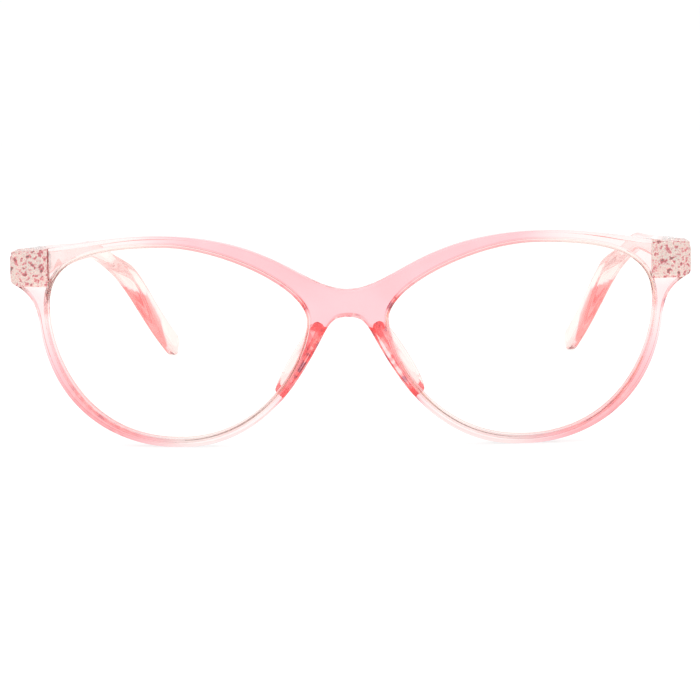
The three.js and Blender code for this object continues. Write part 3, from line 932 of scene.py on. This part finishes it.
def housing_plug(side):
    half_width = CHAMBER_WIDTH / 2 - 0.05 * MM
    half_height = CHAMBER_HEIGHT / 2 - 0.05 * MM
    return creased(
        block(
            f"plug_{side}",
            (HOUSING_X - half_width, HOUSING_END - PLUG_LENGTH, -half_height),
            (HOUSING_X + half_width, HOUSING_END, half_height),
            0.12 * MM,
            at_hinge(side),
        )
    )


def guide_rod(side):
    edge = BROKEN_EDGE
    profile = [
        (ROD_RADIUS - edge, ROD_START),
        (ROD_RADIUS, ROD_START + edge),
        (ROD_RADIUS, ROD_HEAD_START),
        (ROD_HEAD_RADIUS - edge, ROD_HEAD_START),
        (ROD_HEAD_RADIUS, ROD_HEAD_START + edge),
        (ROD_HEAD_RADIUS, ROD_HEAD_END - edge),
        (ROD_HEAD_RADIUS - edge, ROD_HEAD_END),
    ]
    return creased(turned(f"rod_{side}", profile, at_hinge(side) @ along_y(HOUSING_X), 32))


def hinge_spring(side):
    """A round-wire coil about the rod."""
    made = bmesh.new()
    matrix = at_hinge(side) @ along_y(HOUSING_X)
    rings = []
    steps = SPRING_TURNS * SPRING_STEPS
    sides = SPRING_SIDES
    for i in range(steps + 1):
        turn = 2 * math.pi * SPRING_TURNS * i / steps
        outward = Vector((math.cos(turn), math.sin(turn), 0))
        height = mixed(SPRING_START, SPRING_END, i / steps)
        centre = outward * SPRING_RADIUS + Vector((0, 0, height))
        ring = []
        for k in range(sides):
            angle = 2 * math.pi * k / sides
            offset = outward * math.cos(angle) + Vector((0, 0, math.sin(angle)))
            ring.append(made.verts.new(centre + offset * SPRING_WIRE))
        rings.append(ring)
    for ring, after in zip(rings, rings[1:]):
        for k in range(sides):
            m = (k + 1) % sides
            made.faces.new((ring[k], ring[m], after[m], after[k]))
    made.faces.new(rings[0])
    made.faces.new(rings[-1])
    bmesh.ops.transform(made, matrix=matrix, verts=made.verts)
    bmesh.ops.recalc_face_normals(made, faces=made.faces)
    return finished(f"coil_{side}", made)


# ---------------------------------------------------------------- materials


class Look:
    """A node material with short ways to add nodes to it."""

    def __init__(self, name):
        self.material = bpy.data.materials.new(name)
        self.material.use_nodes = True
        self.tree = self.material.node_tree
        self.shader = self.tree.nodes["Principled BSDF"]
        self.output = self.tree.nodes["Material Output"]

    def set(self, **values):
        for key, value in values.items():
            self.shader.inputs[key.replace("_", " ")].default_value = value

    def add(self, kind, inputs=(), **settings):
        node = self.tree.nodes.new(kind)
        for key, value in settings.items():
            setattr(node, key, value)
        for key, value in dict(inputs).items():
            if isinstance(value, bpy.types.NodeSocket):
                self.tree.links.new(value, node.inputs[key])
            else:
                node.inputs[key].default_value = value
        return node

    def link(self, socket, key):
        self.tree.links.new(socket, self.shader.inputs[key])

    def places(self, stretch=(1, 1, 1)):
        """The piece's own coordinates, in metres."""
        coordinates = self.add("ShaderNodeTexCoord").outputs["Object"]
        mapping = self.add("ShaderNodeMapping", {"Vector": coordinates, "Scale": stretch})
        return mapping.outputs["Vector"]

    def noise(self, scale, detail=3, stretch=(1, 1, 1), roughness=0.5):
        inputs = {"Vector": self.places(stretch), "Scale": scale}
        inputs |= {"Detail": detail, "Roughness": roughness}
        return self.add("ShaderNodeTexNoise", inputs).outputs["Fac"]

    def ramped(self, value, low, high, start=0.0, end=1.0):
        """Eases from low to high while value goes from start to end."""
        made = self.add(
            "ShaderNodeMapRange",
            {"Value": value, "From Min": start, "From Max": end, "To Min": low, "To Max": high},
            interpolation_type="SMOOTHSTEP",
        )
        return made.outputs["Result"]

    def colours(self, value, *stops):
        """A colour for each value, mixed between (value, red, green, blue) stops."""
        ramp = self.add("ShaderNodeValToRGB", {"Fac": value})
        marks = ramp.color_ramp.elements
        while len(marks) < len(stops):
            marks.new(1)
        for mark, (at, *colour) in zip(marks, stops):
            mark.position = at
            mark.color = (*colour, 1)
        return ramp.outputs["Color"]

    def bump(self, height, strength, distance):
        inputs = {"Height": height, "Strength": strength, "Distance": distance}
        made = self.add("ShaderNodeBump", inputs)
        self.link(made.outputs["Normal"], "Normal")


PLASTIC_IOR = 1.5
FRONT_DENSITY, TEMPLE_DENSITY = 34, 6  # of the blush plastic's absorption, per metre
PLASTIC_ABSORPTION = (0.97, 0.1, 0.1, 1)
PALE_TINT = (0.99, 0.93, 0.915)
FRONT_TINT = (1, 0.61, 0.65)
CORAL_TINT = (1, 0.27, 0.27)
# Painted shade and highlight in the mottle of the deepest front colour
MOTTLE_PAINTED_SHADE = (0.3, 0.07, 0.12)
MOTTLE_PAINTED_HIGHLIGHT = (1, 0.66, 0.6)
TEMPLE_PALE = (0.98, 0.82, 0.79)
# Painted reflection colour of the temples' ear pieces
PAINTED_TEMPLE_CORAL = (0.98, 0.13, 0.12)
CUT_CREAM = (1, 0.96, 0.92)
CUT_PINK = (1, 0.84, 0.83)
# Painted glints in the speckle of the cut faces
CUT_PAINTED_GLINT_RED = (0.85, 0.3, 0.34)
CUT_PAINTED_GLINT_GREY = (0.4, 0.3, 0.28)
FLECK_CREAM = (1, 0.93, 0.83)
FLECK_PINK = (0.98, 0.68, 0.65)
# Painted glints in the flecks of the ends
FLECK_PAINTED_GLINT_RED = (0.74, 0.16, 0.2)
FLECK_PAINTED_GLINT_GREY = (0.32, 0.22, 0.2)


def absorbing(look, colour, density):
    made = look.add("ShaderNodeVolumeAbsorption", {"Color": colour, "Density": density})
    look.tree.links.new(made.outputs["Volume"], look.output.inputs["Volume"])


def blush_plastic(name, density, pale, deep, with_painted_mottle):
    """Clear plastic: its colour deepens with the length that light travels inside it."""
    look = Look(name)
    look.set(IOR=PLASTIC_IOR, Transmission_Weight=1)
    depth = look.add("ShaderNodeAttribute", attribute_name=TINT_AND_PAINTED_LIGHT).outputs["Fac"]
    wander = look.ramped(look.noise(90, 2), -0.06, 0.06, 0.3, 0.7)
    total = look.add("ShaderNodeMath", {0: depth, 1: wander}, operation="ADD", use_clamp=True)
    depth = total.outputs[0]
    tint = look.colours(depth, (0, *pale), (0.5, *FRONT_TINT), (1, *deep))
    if with_painted_mottle:
        # Painted shade and highlights: dark spots and peach and pale patches over the deepest
        # colour, standing in for light refracted and reflected inside the plastic.
        patches = look.noise(620, 3, (1, 1, 0.5), 0.6)
        dark = ((0.39, *MOTTLE_PAINTED_SHADE), (0.45, *CORAL_TINT))
        light = ((0.52, *CORAL_TINT), (0.58, *MOTTLE_PAINTED_HIGHLIGHT), (0.65, *PALE_TINT))
        painted_mottle = look.colours(patches, *dark, *light)
        share = look.ramped(depth, 0, 1, 0.6, 0.95)
        inputs = {"Factor": share, "A": tint, "B": painted_mottle}
        mixed_tint = look.add("ShaderNodeMix", inputs, data_type="RGBA")
        tint = mixed_tint.outputs["Result"]
    look.link(tint, "Base Color")
    look.link(look.ramped(look.noise(900, 4), 0.01, 0.045, 0.35, 0.75), "Roughness")
    look.bump(look.noise(140, 2), 0.25, 0.02 * MM)
    absorbing(look, PLASTIC_ABSORPTION, density)
    return look.material


def cut_plastic(name, density):
    """The same plastic where it was cut or set by heat: matt and pale, and speckled with red and
    grey painted glints.
    """
    look = Look(name)
    look.set(IOR=PLASTIC_IOR, Transmission_Weight=0.85)
    speckle = look.noise(1100, 3, roughness=0.6)
    # Painted glints: the red and grey spots stand in for light glinting inside the clear plastic;
    # the cream and pink are the frosted face.
    low = ((0.33, *CUT_PAINTED_GLINT_RED), (0.41, *CUT_PINK), (0.47, *CUT_CREAM))
    high = ((0.56, *CUT_CREAM), (0.61, *CUT_PINK), (0.66, *CUT_PAINTED_GLINT_GREY))
    look.link(look.colours(speckle, *low, *high), "Base Color")
    look.link(look.ramped(look.noise(1900, 2), 0.25, 0.6, 0.35, 0.65), "Roughness")
    look.bump(speckle, 0.8, 0.15 * MM)
    absorbing(look, PLASTIC_ABSORPTION, density)
    return look.material


def speckled_plastic(density):
    """The ends of the front, moulded matt: cream and pink with red and grey flecks, which are
    painted glints of light inside the clear end piece.
    """
    look = Look("speckled_plastic")
    look.set(IOR=PLASTIC_IOR, Transmission_Weight=0.35)
    flecks = look.noise(800, 3, roughness=0.62)
    # Painted glints: the red and grey flecks stand in for light glinting inside the clear end
    # piece.
    low = ((0.31, *FLECK_PAINTED_GLINT_GREY), (0.36, *FLECK_PAINTED_GLINT_RED), (0.44, *FLECK_PINK), (0.48, *FLECK_CREAM))
    high = ((0.54, *FLECK_CREAM), (0.58, *FLECK_PINK), (0.63, *FLECK_PAINTED_GLINT_RED), (0.68, *FLECK_PAINTED_GLINT_GREY))
    look.link(look.colours(flecks, *low, *high), "Base Color")
    look.link(look.ramped(look.noise(1500, 2), 0.15, 0.5, 0.35, 0.65), "Roughness")
    look.bump(flecks, 0.6, 0.1 * MM)
    absorbing(look, PLASTIC_ABSORPTION, density)
    return look.material


LENS_DENSITY = 9
LENS_SHEEN = (0.8, 0.86, 1, 1)
LENS_CASTS = ((1, 0.997, 0.98, 1), (1, 0.996, 0.974, 1))
LENS_ABSORPTION = (0.95, 0.85, 0.1, 1)


def lens_plastic():
    """Nearly clear, with a faint warm cast and a cool reflection."""
    look = Look("lens_plastic")
    look.set(IOR=PLASTIC_IOR, Transmission_Weight=1, Roughness=0.0, Specular_Tint=LENS_SHEEN)
    cast = look.add(
        "ShaderNodeMix",
        {"Factor": look.noise(35, 1), "A": LENS_CASTS[0], "B": LENS_CASTS[1]},
        data_type="RGBA",
    )
    look.link(cast.outputs["Result"], "Base Color")
    look.bump(look.noise(30, 1), 0.02, 0.02 * MM)
    absorbing(look, LENS_ABSORPTION, LENS_DENSITY)
    return look.material


def ground_edge():
    """The lens edge as the grinding wheel left it, darker along the bottom with a painted shadow of
    the groove.
    """
    look = Look("ground_edge")
    look.set(IOR=PLASTIC_IOR, Transmission_Weight=1)
    lines = look.noise(2500, 3)
    height = look.add("ShaderNodeSeparateXYZ", {0: look.places()}).outputs["Z"]
    # Painted shadow: the edge turns darker towards the bottom, where the groove's shade falls on
    # it.
    painted_groove_shadow = look.ramped(height, 1, 0, 5 * MM, 15 * MM)
    tone = look.add(
        "ShaderNodeMix",
        {
            "Factor": painted_groove_shadow,
            "A": look.colours(lines, (0.35, 0.93, 0.84, 0.83), (0.65, 1, 0.96, 0.95)),
            "B": look.colours(lines, (0.35, 0.32, 0.2, 0.24), (0.65, 0.62, 0.45, 0.5)),
        },
        data_type="RGBA",
    )
    look.link(tone.outputs["Result"], "Base Color")
    look.link(look.ramped(painted_groove_shadow, 0.02, 0.5), "Roughness")
    look.bump(lines, 0.3, 0.02 * MM)
    absorbing(look, LENS_ABSORPTION, LENS_DENSITY)
    return look.material


def steel(name, colour, low, high, stretch):
    """Drawn or turned steel, in uneven tones, with fine lines along the stretched axis."""
    look = Look(name)
    look.set(Metallic=1)
    grain = look.noise(1500, 4, stretch, 0.65)
    patches = look.noise(400, 2)
    darker = tuple(c * 0.72 for c in colour) + (1,)
    tone = look.add(
        "ShaderNodeMix",
        {"Factor": look.ramped(patches, 0, 1, 0.3, 0.7), "A": darker, "B": (*colour, 1)},
        data_type="RGBA",
    )
    look.link(tone.outputs["Result"], "Base Color")
    look.link(look.ramped(grain, low, high, 0.3, 0.7), "Roughness")
    look.bump(grain, 0.35, 0.01 * MM)
    return look.material


def dress(piece, materials, body, slot, *nodes):
    """Gives a piece its materials, the body it rides and the CAD nodes it stands for."""
    keep = [polygon.material_index for polygon in piece.data.polygons]
    piece.data.materials.clear()
    for material in materials:
        piece.data.materials.append(material)
    piece.data.polygons.foreach_set("material_index", [min(i, len(materials) - 1) for i in keep])
    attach(piece, body)
    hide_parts(*nodes)


def build():
    front_plastic = blush_plastic("front_plastic", FRONT_DENSITY, PALE_TINT, CORAL_TINT, True)
    temple_plastic = blush_plastic(
        "temple_plastic", TEMPLE_DENSITY, TEMPLE_PALE, PAINTED_TEMPLE_CORAL, False
    )
    front_cut = cut_plastic("front_cut", FRONT_DENSITY)
    front_looks = [front_plastic, front_cut, speckled_plastic(FRONT_DENSITY)]
    temple_looks = [temple_plastic, cut_plastic("temple_cut", TEMPLE_DENSITY)]
    clear = [lens_plastic(), ground_edge()]
    drawn = [steel("drawn_steel", (0.78, 0.76, 0.73), 0.18, 0.36, (1, 0.12, 1))]
    lathed = [steel("lathed_steel", (0.6, 0.58, 0.54), 0.22, 0.42, (1, 1, 0.2))]
    dress(front_frame(), front_looks, "front", "blush_plastic", "front_frame")
    for side in SIDES:
        temple_body, slide_body = f"{side}_temple", f"{side}_slide"
        dress(lens(side), clear, "front", "lens_plastic", f"lens_{side}")
        dress(nose_pad(side), [front_plastic], "front", "blush_plastic", f"nose_pad_{side}")
        dress(hinge_leaf(side), drawn, "front", "steel", f"hinge_front_leaf_{side}")
        dress(hinge_screw(side), lathed, "front", "screw_steel", f"hinge_screw_{side}")
        dress(hinge_slide(side), drawn, slide_body, "steel", f"hinge_slider_{side}")
        dress(guide_rod(side), lathed, slide_body, "screw_steel", f"guide_rod_{side}")
        dress(spring_housing(side), drawn, temple_body, "steel", f"spring_housing_{side}")
        dress(housing_plug(side), drawn, temple_body, "steel", f"housing_plug_{side}")
        dress(temple(side), temple_looks, temple_body, "blush_plastic", f"temple_{side}")
        coil = hinge_spring(side)
        dress(coil, lathed, temple_body, "screw_steel", f"hinge_spring_{side}")
        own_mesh(coil)


# ---------------------------------------------------------------- stage, light and camera

WORLD_LIGHT = 1.02
FLOOR_GLOW = 0.74
SOFTBOX_POWER = 1.5
LIGHT_BOUNCES = 48  # light is guided far along clear plastic before it leaves
CAMERA_TARGET = Vector((0.37 * MM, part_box("front_frame")[0].y, 20 * MM))
CAMERA_DISTANCE = 400 * MM
CAMERA_AZIMUTH = math.radians(2.47)
CAMERA_ELEVATION = math.radians(7.72)
CAMERA_ROLL = math.radians(-1.1)
CAMERA_LENS, CAMERA_SENSOR = 102.2, 36  # both in millimetres, as Blender gives them
CAMERA_NEAR, CAMERA_FAR = 0.01, 20
FLOOR_SIZE = 4
SOFTBOX_SIZE = (0.9, 0.6)
SOFTBOX_PLACE = (-0.3, -0.25, 0.9)
SOFTBOX_TARGET = Vector((0, -0.05, 0.02))


def stage():
    bpy.ops.mesh.primitive_plane_add(size=FLOOR_SIZE)
    floor = bpy.context.object
    floor.name = "floor"
    look = Look("floor_white")
    tone = look.add(
        "ShaderNodeMix",
        {"Factor": look.noise(3, 1), "A": (0.35, 0.35, 0.35, 1), "B": (0.36, 0.36, 0.36, 1)},
        data_type="RGBA",
    )
    look.link(tone.outputs["Result"], "Base Color")
    look.set(Roughness=0.9, Emission_Color=(1, 1, 1, 1), Emission_Strength=FLOOR_GLOW)
    floor.data.materials.append(look.material)


def light():
    world = bpy.data.worlds.new("studio")
    bpy.context.scene.world = world
    world.use_nodes = True
    background = world.node_tree.nodes["Background"]
    background.inputs["Color"].default_value = (1, 1, 1, 1)
    background.inputs["Strength"].default_value = WORLD_LIGHT
    lamp = bpy.data.lights.new("softbox", "AREA")
    lamp.shape = "RECTANGLE"
    lamp.size, lamp.size_y = SOFTBOX_SIZE
    lamp.energy = SOFTBOX_POWER
    holder = bpy.data.objects.new("softbox", lamp)
    bpy.context.scene.collection.objects.link(holder)
    holder.location = SOFTBOX_PLACE
    aim = SOFTBOX_TARGET - holder.location
    holder.rotation_euler = aim.to_track_quat("-Z", "Y").to_euler()


def camera():
    lens = bpy.data.cameras.new("camera")
    lens.lens = CAMERA_LENS
    lens.sensor_width = CAMERA_SENSOR
    lens.clip_start, lens.clip_end = CAMERA_NEAR, CAMERA_FAR
    holder = bpy.data.objects.new("camera", lens)
    bpy.context.scene.collection.objects.link(holder)
    level = math.cos(CAMERA_ELEVATION)
    back = Vector(
        (
            math.sin(CAMERA_AZIMUTH) * level,
            -math.cos(CAMERA_AZIMUTH) * level,
            math.sin(CAMERA_ELEVATION),
        )
    )
    turn = back.to_track_quat("Z", "Y").to_matrix().to_4x4()
    roll = Matrix.Rotation(CAMERA_ROLL, 4, "Z")
    holder.matrix_world = Matrix.Translation(CAMERA_TARGET + back * CAMERA_DISTANCE) @ turn @ roll
    bpy.context.scene.camera = holder


build()
stage()
light()
camera()
bpy.context.scene.view_settings.view_transform = "Standard"
for kind in ("max_bounces", "transmission_bounces", "glossy_bounces"):
    setattr(bpy.context.scene.cycles, kind, LIGHT_BOUNCES)
